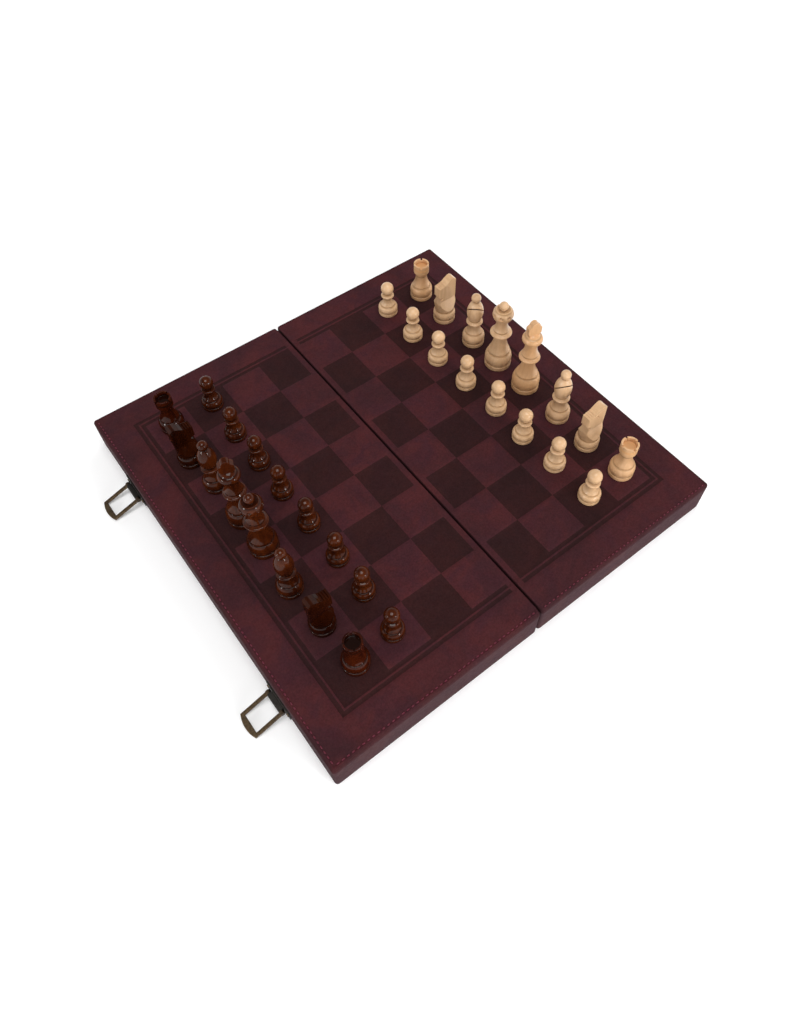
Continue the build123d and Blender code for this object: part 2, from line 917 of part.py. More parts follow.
def knight():
    start = knight_foot_height + foot_groove_width + knight_body_height
    base = knight_ledge_radius - bell_step
    moves = foot_moves(
        knight_foot_radius,
        knight_foot_height,
        knight_body_radius,
        knight_body_height,
        knight_ledge_radius,
        base,
    )
    foot = turned((0, 0), *moves[:-1], (0, start), rounding=turned_corner)
    top = start + knight_head_height
    blank = turned(
        (0, start),
        (base, start),
        (knight_blank_radius, start + 0.25 * knight_head_height),
        (knight_blank_radius, top),
        (0, top),
    )
    slab = extrude(knight_profile(start), 2 * knight_blank_radius, dir=(0, 1, 0), both=True)
    head = blank & slab
    side = knight_head_thickness / 2
    for turn in (0, 180):
        corners = [
            Vector(0, side, start + knight_cheek_height),
            Vector(0, base + cut, start + 1),
            Vector(0, 3 * base, start + 1),
            Vector(0, 3 * base, top + cut),
            Vector(0, side, top + cut),
        ]
        side_view = Face(Wire.make_polygon(corners, close=True))
        wedge = extrude(side_view, 2 * knight_blank_radius, dir=(1, 0, 0), both=True)
        head = head - Rot(0, 0, turn) * wedge
    (front_x, front_z), (back_x, back_z) = knight_brow()
    for k in range(knight_brow_cuts):
        part = (k + 1) / (knight_brow_cuts + 1)
        x = front_x + part * (back_x - front_x)
        z = start + front_z + part * (back_z - front_z)
        cutter = Box(knight_brow_cut_size, 3 * side, knight_brow_cut_size)
        head = head - Pos(x, 0, z) * Rot(0, 45, 0) * cutter
    for y in (-side, side):
        eye = Pos(-0.05 * knight_blank_radius, y, start + 0.77 * knight_head_height)
        head = head - eye * Rot(90, 0, 0) * Cylinder(knight_eye_radius, 2 * knight_eye_depth)
    return merged([foot, head])


# The men's places


def square_middle(i, j):
    """Middle of the square in column i from the left and row j from the front."""
    side = -inner_face if i < squares_across // 2 else inner_face
    middle = (squares_across - 1) / 2
    return side + (i - middle) * square, (j - middle) * square


def stand(man, i, j, place):
    x, y = square_middle(i, j)
    shift_x, shift_y, turn = place
    return Pos(x + shift_x, y + shift_y, half_height) * Rot(0, 0, turn) * man


def rank_name(colour, order, j):
    """The name of the man on row j. One of a pair is called front or back, after its end of the rank."""
    kind = order[j]
    if order.count(kind) == 1:
        return f"{colour}_{kind}"
    end = "front" if j < squares_across // 2 else "back"
    return f"{colour}_{kind}_{end}"


def set_out():
    """Writes every man on its square."""
    shapes = {
        "rook": rook(),
        "knight": knight(),
        "bishop": bishop(),
        "queen": queen(),
        "king": king(),
        "pawn": pawn(),
    }
    light_order = ["rook", "knight", "bishop", "king", "queen", "bishop", "knight", "rook"]
    dark_order = ["rook", "knight", "bishop", "queen", "king", "bishop", "knight", "rook"]
    last = squares_across - 1
    sides = [
        ("light", light_order, last, light_rank_places, last - 1, light_pawn_places),
        ("dark", dark_order, 0, dark_rank_places, 1, dark_pawn_places),
    ]
    for colour, order, rank, rank_places, pawn_rank, pawn_places in sides:
        for j in range(squares_across):
            man = stand(shapes[order[j]], rank, j, rank_places[j])
            save(rank_name(colour, order, j), [man])
            pawn_man = stand(shapes["pawn"], pawn_rank, j, pawn_places[j])
            save(f"{colour}_pawn_{j + 1}", [pawn_man])


def mirrored(shape):
    return mirror(shape, Plane.YZ)


def main():
    os.makedirs("parts", exist_ok=True)
    long_walls, end_walls = walls()
    save("left_long_walls", [latch_drilled(long_walls)])
    save("right_long_walls", [catch_drilled(mirrored(long_walls))])
    save("left_end_walls", [end_walls])
    save("right_end_walls", [mirrored(end_walls)])
    save("left_panel", [panel()])
    save("right_panel", [mirrored(panel())])
    save("left_rim_band", [rim_band()])
    save("right_rim_band", [mirrored(rim_band())])
    save("left_lining", [lining()])
    save("right_lining", [mirrored(lining())])
    save("left_leather", [latch_drilled(cover(0))])
    save("right_leather", [catch_drilled(mirrored(cover(1)))])
    save("left_stamped_squares", stamps(0))
    save("right_stamped_squares", [mirrored(piece) for piece in stamps(1)])

    hinge_places = screw_places(hinge_spread)
    save("left_hinge_leaves", [Pos(0, y, 0) * hinge_leaf(0) for y in hinge_places])
    save("right_hinge_leaves", [mirrored(Pos(0, y, 0) * hinge_leaf(1)) for y in hinge_places])
    save("hinge_pins", [Pos(0, y, 0) * hinge_pin() for y in hinge_places])
    screws = [
        Pos(0, y + dy, 0) * hinge_screw()
        for y in hinge_places
        for dy in screw_places(hinge_screw_spread)
    ]
    save("left_hinge_screws", screws)
    save("right_hinge_screws", [mirrored(screw) for screw in screws])

    front, back = screw_places(latch_spread)
    save("front_latch_plate", [Pos(0, front, 0) * latch_plate()])
    save("back_latch_plate", [Pos(0, back, 0) * latch_plate()])
    save("front_latch_bail", [Pos(0, front, 0) * bail()])
    save("back_latch_bail", [Pos(0, back, 0) * bail()])
    save("latch_pins", [Pos(0, y, 0) * latch_pin() for y in (front, back)])
    plate_face = -outer_face - plate_thickness
    latch_screws = [
        slotted_screw(plate_face, -1, y + dy, barrel_height)
        for y in (front, back)
        for dy in screw_places(latch_screw_spread)
    ]
    save("latch_screws", latch_screws)
    save("catches", [Pos(0, y, 0) * catch() for y in (front, back)])
    catch_face = outer_face + catch_plate_thickness
    catch_screw_height = catch_center_height() + catch_screw_drop
    catch_screws = [
        slotted_screw(catch_face, 1, y + dy, catch_screw_height)
        for y in (front, back)
        for dy in screw_places(catch_screw_spread)
    ]
    save("catch_screws", catch_screws)
    set_out()
    print("seam at x", round(seam_x, 3), "bail hangs down by", round(bail_rest_angle, 3), "degrees")


main()
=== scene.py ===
import json
import math
import random

import bmesh
import bpy
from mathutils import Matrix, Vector, noise


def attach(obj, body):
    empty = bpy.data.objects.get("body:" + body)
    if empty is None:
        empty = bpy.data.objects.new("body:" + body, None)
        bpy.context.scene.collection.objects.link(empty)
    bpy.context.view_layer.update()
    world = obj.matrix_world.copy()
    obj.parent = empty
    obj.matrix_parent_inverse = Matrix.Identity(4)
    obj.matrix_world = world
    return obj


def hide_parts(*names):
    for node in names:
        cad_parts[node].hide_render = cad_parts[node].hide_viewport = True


# A folding leatherette chess case, open for play, with lacquered wooden men.
# Everything is in metres in the part's own frame. MM turns millimetres into metres.

MM = 0.001
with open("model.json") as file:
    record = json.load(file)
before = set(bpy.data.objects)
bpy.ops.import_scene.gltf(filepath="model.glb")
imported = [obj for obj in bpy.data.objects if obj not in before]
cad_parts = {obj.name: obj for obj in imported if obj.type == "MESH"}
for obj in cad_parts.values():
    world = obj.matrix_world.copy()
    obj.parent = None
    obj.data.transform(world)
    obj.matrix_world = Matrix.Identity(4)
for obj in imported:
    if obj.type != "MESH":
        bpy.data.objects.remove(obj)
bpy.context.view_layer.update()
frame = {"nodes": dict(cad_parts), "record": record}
nodes = frame["nodes"]

# Sizes of the case, in mm. The seam lies at SEAM_X, and each half runs from INNER to OUTER away from it.
SEAM_X = 11.601
SQUARE = 36.0
SQUARES = 8
FIELD = SQUARES * SQUARE
MARGIN = 31.0
INNER = 0.65
OUTER = INNER + FIELD / 2 + MARGIN
HALF_LENGTH = FIELD / 2 + MARGIN
TOP = 30.5
CORNER_RADIUS = 2.5
EDGE_RADIUS = 2.5
SEAM_EDGE_RADIUS = 0.7
# EDGE_BAND is how far below the top the edge's painted reflection reaches
EDGE_BAND = 4.9

# Stamped frame and squares, in mm
FRAME_OVERLAP = 1.1
FRAME_STRIPE = 3.1
FRAME_STRIPE_GAP = 1.4
STAMP_DEPTH = 0.1
STAMP_EDGE = 0.2

# Soft unevenness of the top, in mm, with WAVE_SCALE per mm. WAVE_PLANE tells the two halves apart.
WAVE_DEPTH = 0.06
WAVE_SCALE = 0.035
WAVE_PLANE = 3.0

# Mesh of the covers, in mm: loops reach RIM_WIDTH in from the edge, and a grid fills the rest
RIM_WIDTH = 5.0
GRID_STEP = 3.0
CORNER_STEPS = 6
WALL_STEPS = 8
BAND_STEPS = 2
ROUND_STEPS = 8
EDGE_ROUND_STEPS = 6
MERGE_DISTANCE = 0.001

# Stitching, in mm. The insets are the left half's and the right half's.
STITCH_INSETS = {-1: 3.3, 1: 2.4}
STITCH_PITCH = 3.9
STITCH_LENGTH = 2.4
STITCH_LENGTH_SPREAD = (0.94, 1.04)
STITCH_RADIUS = 0.42
STITCH_SEAM_GAP = 2.6
STITCH_CORNER_GAP = 1.0
GROOVE_DEPTH = 0.3
GROOVE_WIDTH = 0.9
GROOVE_LOOPS = (-0.25, 0.0, 0.25, 0.5, 0.9)
GROOVE_LEAD = 0.5

# How each stitch lies: sunk, and falling and thinning towards its two holes. Tilts are sideways per length.
STITCH_SINK = 0.16
STITCH_DIVE = 0.55
STITCH_ARCH_POWER = 3.5
STITCH_TAPER = 0.25
STITCH_FLATNESS = 0.85
STITCH_TILT = 0.06
STITCH_TILT_SPREAD = 0.07
STITCH_SEED = 5
THREAD_RINGS = 9
THREAD_SIDES = 8

# Painted shade in the turned grooves, as heights above the board in mm
SHADED_GROOVE_HEIGHTS = {
    "pawn": (3.35, 9.8, 16.8, 22.1),
    "rook": (3.95, 12.7, 24.4),
    "bishop": (3.95, 12.9, 21.7, 27.2, 46.8),
    "knight": (3.95, 11.8),
    "queen": (4.55, 15.4, 33.6, 40.3, 61.6),
    "king": (4.75, 16.4, 32.3, 39.4, 52.8, 59.5),
}
# Width of every line of painted groove shade, in mm
SHADED_GROOVE_WIDTH = 0.45
# Height and width, in mm, of the painted shade on the floor inside a rook's head
ROOK_RECESS = 32.4
RECESS_LINE = 1.0

# The mask for lines of painted shade reaches MASK_SPAN mm above the board. A line is full up to MASK_CORE
# of its width above and below its height, and gone at MASK_FADE of it.
MASK_SPAN = 80.0
MASK_CORE = 0.4
MASK_FADE = 1.6

# Softened edges of the carved knights, in mm and degrees
KNIGHT_BEVEL = 0.45
KNIGHT_BEVEL_SEGMENTS = 3
KNIGHT_BEVEL_ANGLE = 35

# Sockets of a Mix node that mixes colours
MIX_FACTOR, MIX_FIRST, MIX_SECOND = 0, 6, 7
MIX_RESULT = 2


# Node helpers


def material(name):
    """A material with its tree cleared, and its tree and output node."""
    made = bpy.data.materials.new(name)
    made.use_nodes = True
    tree = made.node_tree
    tree.nodes.clear()
    out = tree.nodes.new("ShaderNodeOutputMaterial")
    return made, tree, out


def add(tree, kind, inputs=None, **settings):
    """A node with its settings and socket values."""
    node = tree.nodes.new(kind)
    for key, value in settings.items():
        setattr(node, key, value)
    for key, value in (inputs or {}).items():
        node.inputs[key].default_value = value
    return node


def link(tree, source, target):
    tree.links.new(source, target)


def feed(tree, value, socket):
    """Give a socket a number, a colour or another socket's value."""
    if isinstance(value, (int, float)):
        socket.default_value = value
    elif isinstance(value, tuple):
        socket.default_value = (*value, 1)
    else:
        link(tree, value, socket)


def place(tree, scale=(1, 1, 1), spread=None):
    """Object coordinates, stretched, and shifted apart by spread for every object."""
    coordinates = add(tree, "ShaderNodeTexCoord")
    mapping = add(tree, "ShaderNodeMapping", {"Scale": scale})
    link(tree, coordinates.outputs["Object"], mapping.inputs["Vector"])
    if spread:
        info = add(tree, "ShaderNodeObjectInfo")
        shift = add(tree, "ShaderNodeVectorMath", operation="SCALE")
        shift.inputs[0].default_value = spread
        link(tree, info.outputs["Random"], shift.inputs["Scale"])
        link(tree, shift.outputs[0], mapping.inputs["Location"])
    return mapping.outputs["Vector"]


def cloud(tree, vector, scale, detail=3.0, roughness=0.5, distortion=0.0):
    """Cloudy noise between 0 and 1."""
    node = add(
        tree,
        "ShaderNodeTexNoise",
        {"Scale": scale, "Detail": detail, "Roughness": roughness, "Distortion": distortion},
    )
    link(tree, vector, node.inputs["Vector"])
    return node.outputs["Fac"]


def ramp(tree, factor, stops):
    """A colour ramp. stops are (place, colour)."""
    node = add(tree, "ShaderNodeValToRGB")
    elements = node.color_ramp.elements
    while len(elements) < len(stops):
        elements.new(0.5)
    for element, (where, colour) in zip(elements, stops):
        element.position = where
        element.color = (*colour, 1)
    link(tree, factor, node.inputs["Fac"])
    return node.outputs["Color"]


def grey(tree, factor, low, high, start=0.0, end=1.0):
    """A number that runs from low to high as factor runs from start to end."""
    node = add(
        tree,
        "ShaderNodeMapRange",
        {"From Min": start, "From Max": end, "To Min": low, "To Max": high},
    )
    link(tree, factor, node.inputs["Value"])
    return node.outputs["Result"]


def mixed(tree, factor, first, second, blend="MIX"):
    """Two colours mixed by a number or a socket."""
    node = add(tree, "ShaderNodeMix", data_type="RGBA", blend_type=blend)
    for value, socket in ((factor, MIX_FACTOR), (first, MIX_FIRST), (second, MIX_SECOND)):
        feed(tree, value, node.inputs[socket])
    return node.outputs[MIX_RESULT]


def bump(tree, height, strength, distance, normal=None):
    """A bumped normal, on top of another one if it is given. distance is in metres."""
    node = add(tree, "ShaderNodeBump", {"Strength": strength, "Distance": distance})
    link(tree, height, node.inputs["Height"])
    if normal:
        link(tree, normal, node.inputs["Normal"])
    return node.outputs["Normal"]


def shader(tree, out, colour, roughness, normal=None, **values):
    """A principled shader. colour and roughness are sockets or constants."""
    node = add(tree, "ShaderNodeBsdfPrincipled")
    feed(tree, colour, node.inputs["Base Color"])
    feed(tree, roughness, node.inputs["Roughness"])
    for key, value in values.items():
        node.inputs[key.replace("_", " ")].default_value = value
    if normal:
        link(tree, normal, node.inputs["Normal"])
    link(tree, node.outputs["BSDF"], out.inputs["Surface"])
    return node


# Materials


def leather(name, warm, cool, dark, gloss):
    """Matte suede-like leatherette: cloudy patches of a warm and a cool tone, rubbed spots, fine grain.
    gloss is the specular level."""
    made, tree, out = material(name)
    vector = place(tree)
    patches = cloud(tree, vector, 42.0, detail=4.0, roughness=0.55, distortion=0.7)
    colour = ramp(tree, patches, [(0.38, cool), (0.58, warm)])
    rubbed = cloud(tree, vector, 16.0, detail=5.0, roughness=0.6, distortion=1.2)
    rubbed = grey(tree, rubbed, low=0.0, high=0.75, start=0.44, end=0.68)
    colour = mixed(tree, rubbed, colour, dark)
    speckle = cloud(tree, vector, 700.0, detail=2.0)
    speckle = grey(tree, speckle, low=0.85, high=1.15, start=0.3, end=0.7)
    colour = mixed(tree, 1.0, colour, speckle, "MULTIPLY")
    grain = add(
        tree,
        "ShaderNodeTexVoronoi",
        {"Scale": 1300.0, "Randomness": 1.0},
        feature="SMOOTH_F1",
    )
    link(tree, vector, grain.inputs["Vector"])
    creases = cloud(tree, vector, 240.0, detail=6.0, roughness=0.6)
    normal = bump(tree, grain.outputs["Distance"], strength=0.3, distance=0.0002)
    normal = bump(tree, creases, strength=0.25, distance=0.0004, normal=normal)
    rough = grey(tree, creases, low=0.72, high=0.9, start=0.3, end=0.7)
    shader(tree, out, colour, rough, normal, Specular_IOR_Level=gloss)
    return made


def height_mask(tree, heights, width):
    """A mask that is one at every height above the board, and fades to zero above and below it.
    heights and width are in mm."""
    coordinates = add(tree, "ShaderNodeTexCoord")
    parts = add(tree, "ShaderNodeSeparateXYZ")
    link(tree, coordinates.outputs["Object"], parts.inputs["Vector"])
    along = grey(tree, parts.outputs["Z"], 0.0, 1.0, start=TOP * MM, end=(TOP + MASK_SPAN) * MM)
    stops = [(0.0, (0, 0, 0))]
    for height in sorted(heights):
        for reach, level in ((-MASK_FADE, 0), (-MASK_CORE, 1), (MASK_CORE, 1), (MASK_FADE, 0)):
            stops.append(((height + reach * width) / MASK_SPAN, (level, level, level)))
    return ramp(tree, along, stops)


def wood(name, tones, groove_shade, lines, gloss, recess=None):
    """Turned and lacquered wood: soft cloudy figure along the axis, faint pores, painted shade in the
    grooves.
    gloss is the roughness, the coat's weight and roughness, and the specular level under it.
    recess is the height and colour of painted shade on the floor inside a head."""
    made, tree, out = material(name)
    vector = place(tree, scale=(1, 1, 0.22), spread=(0.7, 0.4, 0.9))
    figure = cloud(tree, vector, 95.0, detail=3.0, roughness=0.5, distortion=1.5)
    first_tone, tone_span = 0.3, 0.4
    stops = [(first_tone + tone_span * k / (len(tones) - 1), tone) for k, tone in enumerate(tones)]
    colour = ramp(tree, figure, stops)
    fibre = cloud(tree, place(tree, scale=(1, 1, 0.05)), 1500.0, detail=3.0, roughness=0.6)
    pores = grey(tree, fibre, low=0.95, high=1.05, start=0.3, end=0.7)
    colour = mixed(tree, 1.0, colour, pores, "MULTIPLY")
    # Painted shade in the turned grooves
    if lines:
        colour = mixed(tree, height_mask(tree, lines, SHADED_GROOVE_WIDTH), colour, groove_shade)
    # Painted shade on the floor inside a rook's head
    if recess:
        height, bottom = recess
        colour = mixed(tree, height_mask(tree, (height,), RECESS_LINE), colour, bottom)
    normal = bump(tree, fibre, strength=0.05, distance=0.0001)
    roughness, coat, coat_roughness, under = gloss
    shader(
        tree,
        out,
        colour,
        roughness,
        normal,
        Coat_Weight=coat,
        Coat_Roughness=coat_roughness,
        Specular_IOR_Level=under,
    )
    return made


def brass(name, bright, dark, roughness):
    """Antique brass: a brown patina over brighter metal, dark in patches and along its raised edges,
    with a fine brushed grain."""
    made, tree, out = material(name)
    patina = cloud(tree, place(tree), 420.0, detail=5.0, roughness=0.6)
    patches = grey(tree, patina, low=0.0, high=1.0, start=0.35, end=0.7)
    colour = mixed(tree, patches, bright, dark)
    edges = add(tree, "ShaderNodeNewGeometry").outputs["Pointiness"]
    edges = grey(tree, edges, low=0.0, high=0.85, start=0.53, end=0.6)
    colour = mixed(tree, edges, colour, dark)
    scratches = cloud(tree, place(tree, scale=(1, 0.05, 1)), 3000.0, detail=2.0)
    normal = bump(tree, scratches, strength=0.15, distance=0.0001)
    rough = grey(tree, patina, low=roughness, high=roughness + 0.25, start=0.3, end=0.7)
    shader(tree, out, colour, rough, normal, Metallic=1.0)
    return made


def cloth(name, colour_low, colour_high):
    """Short flocking."""
    made, tree, out = material(name)
    vector = place(tree)
    pile = cloud(tree, vector, 2200.0, detail=3.0)
    patches = cloud(tree, vector, 60.0, detail=3.0)
    colour = ramp(tree, patches, [(0.35, colour_low), (0.65, colour_high)])
    normal = bump(tree, pile, strength=0.6, distance=0.0004)
    shader(
        tree,
        out,
        colour,
        0.95,
        normal,
        Sheen_Weight=0.5,
        Sheen_Roughness=0.4,
        Specular_IOR_Level=0.1,
    )
    return made


def thread_material(name, colour_low, colour_high):
    """Twisted polyester thread."""
    made, tree, out = material(name)
    twist = add(
        tree,
        "ShaderNodeTexWave",
        {"Scale": 900.0, "Distortion": 1.0},
        wave_type="BANDS",
        bands_direction="DIAGONAL",
    )
    link(tree, place(tree), twist.inputs["Vector"])
    colour = ramp(tree, twist.outputs["Fac"], [(0.0, colour_low), (1.0, colour_high)])
    normal = bump(tree, twist.outputs["Fac"], strength=0.4, distance=0.0001)
    shader(tree, out, colour, 0.55, normal, Specular_IOR_Level=0.4)
    return made


BURGUNDY = leather(
    "burgundy_leatherette",
    warm=(0.059, 0.0124, 0.0142),
    cool=(0.045, 0.0108, 0.0152),
    dark=(0.032, 0.009, 0.0116),
    gloss=0.15,
)
STAMPED = leather(
    "stamped_leatherette",
    warm=(0.029, 0.0078, 0.0078),
    cool=(0.0255, 0.0072, 0.0082),
    dark=(0.0165, 0.0056, 0.006),
    gloss=0.12,
)
# Painted reflection on the rounded edge: a greyer band, between the top's colour and the walls'
EDGE_REFLECTION = leather(
    "edge_reflection_leatherette",
    warm=(0.052, 0.0165, 0.018),
    cool=(0.044, 0.0155, 0.019),
    dark=(0.034, 0.0135, 0.015),
    gloss=0.05,
)
# Painted reflection of the white floor: the walls' leather is the top's, greyer and lighter
WALL_REFLECTION = leather(
    "wall_reflection_leatherette",
    warm=(0.068, 0.0315, 0.034),
    cool=(0.06, 0.03, 0.0355),
    dark=(0.05, 0.0265, 0.03),
    gloss=0.06,
)
THREAD = thread_material("burgundy_thread", (0.075, 0.006, 0.016), (0.16, 0.011, 0.034))
AGED_BRASS = brass("aged_brass", (0.165, 0.112, 0.062), (0.06, 0.043, 0.03), 0.34)
DARK_PLATE = brass("dark_plate", (0.085, 0.075, 0.06), (0.03, 0.028, 0.026), 0.36)
PLAIN_BRASS = brass("plain_brass", (0.7, 0.5, 0.22), (0.45, 0.3, 0.12), 0.25)
LINING = cloth("dark_flock", (0.02, 0.008, 0.01), (0.035, 0.014, 0.016))

# Woods: tones from dark to pale, and the shade by which some kinds of men differ
LIGHT_TONES = [(0.55, 0.335, 0.175), (0.62, 0.39, 0.215), (0.68, 0.445, 0.26)]
# Painted shade in the grooves of the light men
LIGHT_GROOVE_SHADE = (0.42, 0.245, 0.115)
# Painted shade inside the light rooks' heads
LIGHT_RECESS_SHADE = (0.66, 0.36, 0.16)
LIGHT_SHADES = {"king": (0.97, 0.88, 0.78), "rook": (1.0, 0.93, 0.86)}
LIGHT_GLOSS = (0.36, 0.4, 0.2, 0.2)
DARK_TONES = [(0.026, 0.0048, 0.0015), (0.046, 0.0088, 0.002), (0.07, 0.014, 0.0026)]
# Painted shade in the grooves of the dark men
DARK_GROOVE_SHADE = (0.02, 0.0042, 0.0018)
# Painted shade inside the dark rooks' heads
DARK_RECESS_SHADE = (0.012, 0.003, 0.0014)
DARK_SHADES = {"knight": (0.45, 0.42, 0.45), "rook": (0.62, 0.5, 0.6)}
DARK_GLOSS = (0.5, 0.42, 0.05, 0.0)
BOARD_TONES = [(0.3, 0.2, 0.11), (0.42, 0.29, 0.17), (0.5, 0.35, 0.2)]
BOARD_GLOSS = (0.75, 0.0, 0.3, 0.4)


def shaded(tones, shade):
    """Every tone times a shade, channel by channel."""
    return [tuple(value * part for value, part in zip(tone, shade)) for tone in tones]


def woods(colour, tones, groove_shade, bottom, shades, gloss):
    """The wood of every kind of man of one colour. bottom is the painted shade inside a rook's head."""
    made = {}
    for kind, lines in SHADED_GROOVE_HEIGHTS.items():
        own = shaded(tones, shades.get(kind, (1, 1, 1)))
        recess = (ROOK_RECESS, bottom) if kind == "rook" else None
        made[kind] = wood(f"{colour}_wood_{kind}", own, groove_shade, lines, gloss, recess)
    return made


LIGHT_WOODS = woods("pale", LIGHT_TONES, LIGHT_GROOVE_SHADE, LIGHT_RECESS_SHADE, LIGHT_SHADES, LIGHT_GLOSS)
DARK_WOODS = woods("amber", DARK_TONES, DARK_GROOVE_SHADE, DARK_RECESS_SHADE, DARK_SHADES, DARK_GLOSS)
BOARD = wood("fibre_board", BOARD_TONES, groove_shade=None, lines=(), gloss=BOARD_GLOSS)

FINISHES = {
    "leather": BURGUNDY,
    "stamped_leather": STAMPED,
    "case_board": BOARD,
    "lining_cloth": LINING,
    "hinge_brass": PLAIN_BRASS,
    "aged_brass": AGED_BRASS,
}


def finish_of(part):
    """The material of one CAD node. The latch plates are darker than the other aged brass,
    and each kind of man has its own grooves."""
    slot = part["material_slot"]
    if "latch_plate" in part["node"]:
        return DARK_PLATE
    if slot in FINISHES:
        return FINISHES[slot]
    kind = part["node"].split("_")[1]
    return (LIGHT_WOODS if slot == "light_wood" else DARK_WOODS)[kind]


for part in frame["record"]["subparts"]:
    for material_slot in nodes[part["node"]].material_slots:
        material_slot.material = finish_of(part)

for name, node in nodes.items():
    if "knight" in name:
        softened = node.modifiers.new("worn_edges", "BEVEL")
        softened.width = KNIGHT_BEVEL * MM
        softened.segments = KNIGHT_BEVEL_SEGMENTS
        softened.limit_method = "ANGLE"
        softened.angle_limit = math.radians(KNIGHT_BEVEL_ANGLE)


# Meshes of the covers and the stitching, made in mm about the seam


def join_rings(bm, low, high):
    """Faces between two rings of as many vertices."""
    count = len(low)
    faces = []
    for i in range(count):
        j = (i + 1) % count
        faces.append(bm.faces.new((low[i], low[j], high[j], high[i])))
    return faces


def finished_mesh(bm, name):
    """A smooth mesh in metres in the part's frame, from one in mm about the seam."""
    for face in bm.faces:
        face.smooth = True
    bmesh.ops.recalc_face_normals(bm, faces=bm.faces)
    bmesh.ops.scale(bm, vec=(MM, MM, MM), verts=bm.verts)
    bmesh.ops.translate(bm, vec=(SEAM_X * MM, 0, 0), verts=bm.verts)
    mesh = bpy.data.meshes.new(name)
    bm.to_mesh(mesh)
    bm.free()
    return mesh


def mesh_object(name, mesh, materials, body):
    """A piece with its materials, riding on a body."""
    made = bpy.data.objects.new(name, mesh)
    bpy.context.scene.collection.objects.link(made)
    for item in materials:
        mesh.materials.append(item)
    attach(made, body)
    return made


# Leather covers. The places of a cover's materials follow the order in COVER_MATERIALS.

# The wall and edge leathers are the top's leather with painted reflection: greyer and lighter on the walls,
# between the two on the rounded edge
COVER_MATERIALS = [BURGUNDY, STAMPED, EDGE_REFLECTION, WALL_REFLECTION]
TOP_PLACE, STAMPED_PLACE, EDGE_REFLECTION_PLACE, WALL_REFLECTION_PLACE = range(4)


def stamped_at(x, y):
    """Whether the leather is stamped dark at a place of the playing surface, in mm from its middle."""
    reach = FIELD / 2
    out = max(abs(x), abs(y)) - reach
    if -FRAME_OVERLAP < out < FRAME_STRIPE - FRAME_OVERLAP:
        return True
    second = FRAME_STRIPE - FRAME_OVERLAP + FRAME_STRIPE_GAP
    if second < out < second + FRAME_STRIPE:
        return True
    if out > 0:
        return False
    column = math.floor((x + reach) / SQUARE)
    row = math.floor((y + reach) / SQUARE)
    return (column + row) % 2 == 0


def stamp_lines():
    """The distances from the middle of the field at which the stamped pattern changes."""
    second = FIELD / 2 + FRAME_STRIPE - FRAME_OVERLAP + FRAME_STRIPE_GAP
    lines = [k * SQUARE for k in range(SQUARES // 2 + 1)]
    lines[-1] -= FRAME_OVERLAP
    return lines + [FIELD / 2 + FRAME_STRIPE - FRAME_OVERLAP, second, second + FRAME_STRIPE]


def grid_lines(low, high, fixed):
    """Places from low to high about a step apart, with two close lines at every fixed place."""
    marks = {low, high}
    for mark in fixed:
        for near in (mark - STAMP_EDGE / 2, mark + STAMP_EDGE / 2):
            if low < near < high:
                marks.add(near)
    marks = sorted(marks)
    lines = [low]
    for a, b in zip(marks, marks[1:]):
        count = max(1, round((b - a) / GRID_STEP))
        lines += [a + (b - a) * k / count for k in range(1, count + 1)]
    return lines


def cover_height(side, u, v):
    """Height of the top at u from the seam and v along it, with its groove, stamping and waves."""
    outside = min(OUTER - u, HALF_LENGTH - abs(v))
    sewn = v + HALF_LENGTH < RIM_WIDTH or (side < 0 and OUTER - u < RIM_WIDTH)
    depth = 0.0
    if sewn:
        depth = GROOVE_DEPTH * math.exp(-(((outside - STITCH_INSETS[side]) / (GROOVE_WIDTH / 2)) ** 2))
    if stamped_at(side * (u - INNER), v):
        depth += STAMP_DEPTH
    wave = noise.noise(Vector((u * WAVE_SCALE, v * WAVE_SCALE, WAVE_PLANE * side)))
    return TOP - depth - WAVE_DEPTH * (1 + wave)


def corner(centre_u, centre_v, inset, start):
    """Points of a corner moved inwards, as (u, v), from the angle start over a quarter turn."""
    size = max(CORNER_RADIUS - inset, 0.0)
    points = []
    for k in range(CORNER_STEPS + 1):
        angle = math.radians(start + 90 * k / CORNER_STEPS)
        points.append((centre_u + size * math.cos(angle), centre_v + size * math.sin(angle)))
    return points


def outline(inset, seam_inset, lines_x, lines_y):
    """The outline of a half, moved inwards, as (u, v) counterclockwise."""
    u0, u1 = INNER + seam_inset, OUTER - inset
    v0, v1 = -HALF_LENGTH + inset, HALF_LENGTH - inset
    centre = max(CORNER_RADIUS, inset)
    seam_centre = max(CORNER_RADIUS, seam_inset)
    seam_corner = max(inset, seam_inset)
    points = [(u, v0) for u in lines_x]
    points += corner(OUTER - centre, -HALF_LENGTH + centre, inset, -90)
    points += [(u1, v) for v in lines_y]
    points += corner(OUTER - centre, HALF_LENGTH - centre, inset, 0)
    points += [(u, v1) for u in reversed(lines_x)]
    points += corner(INNER + seam_centre, HALF_LENGTH - centre, seam_corner, 90)
    points += [(u0, v) for v in reversed(lines_y)]
    points += corner(INNER + seam_centre, -HALF_LENGTH + centre, seam_corner, 180)
    return points


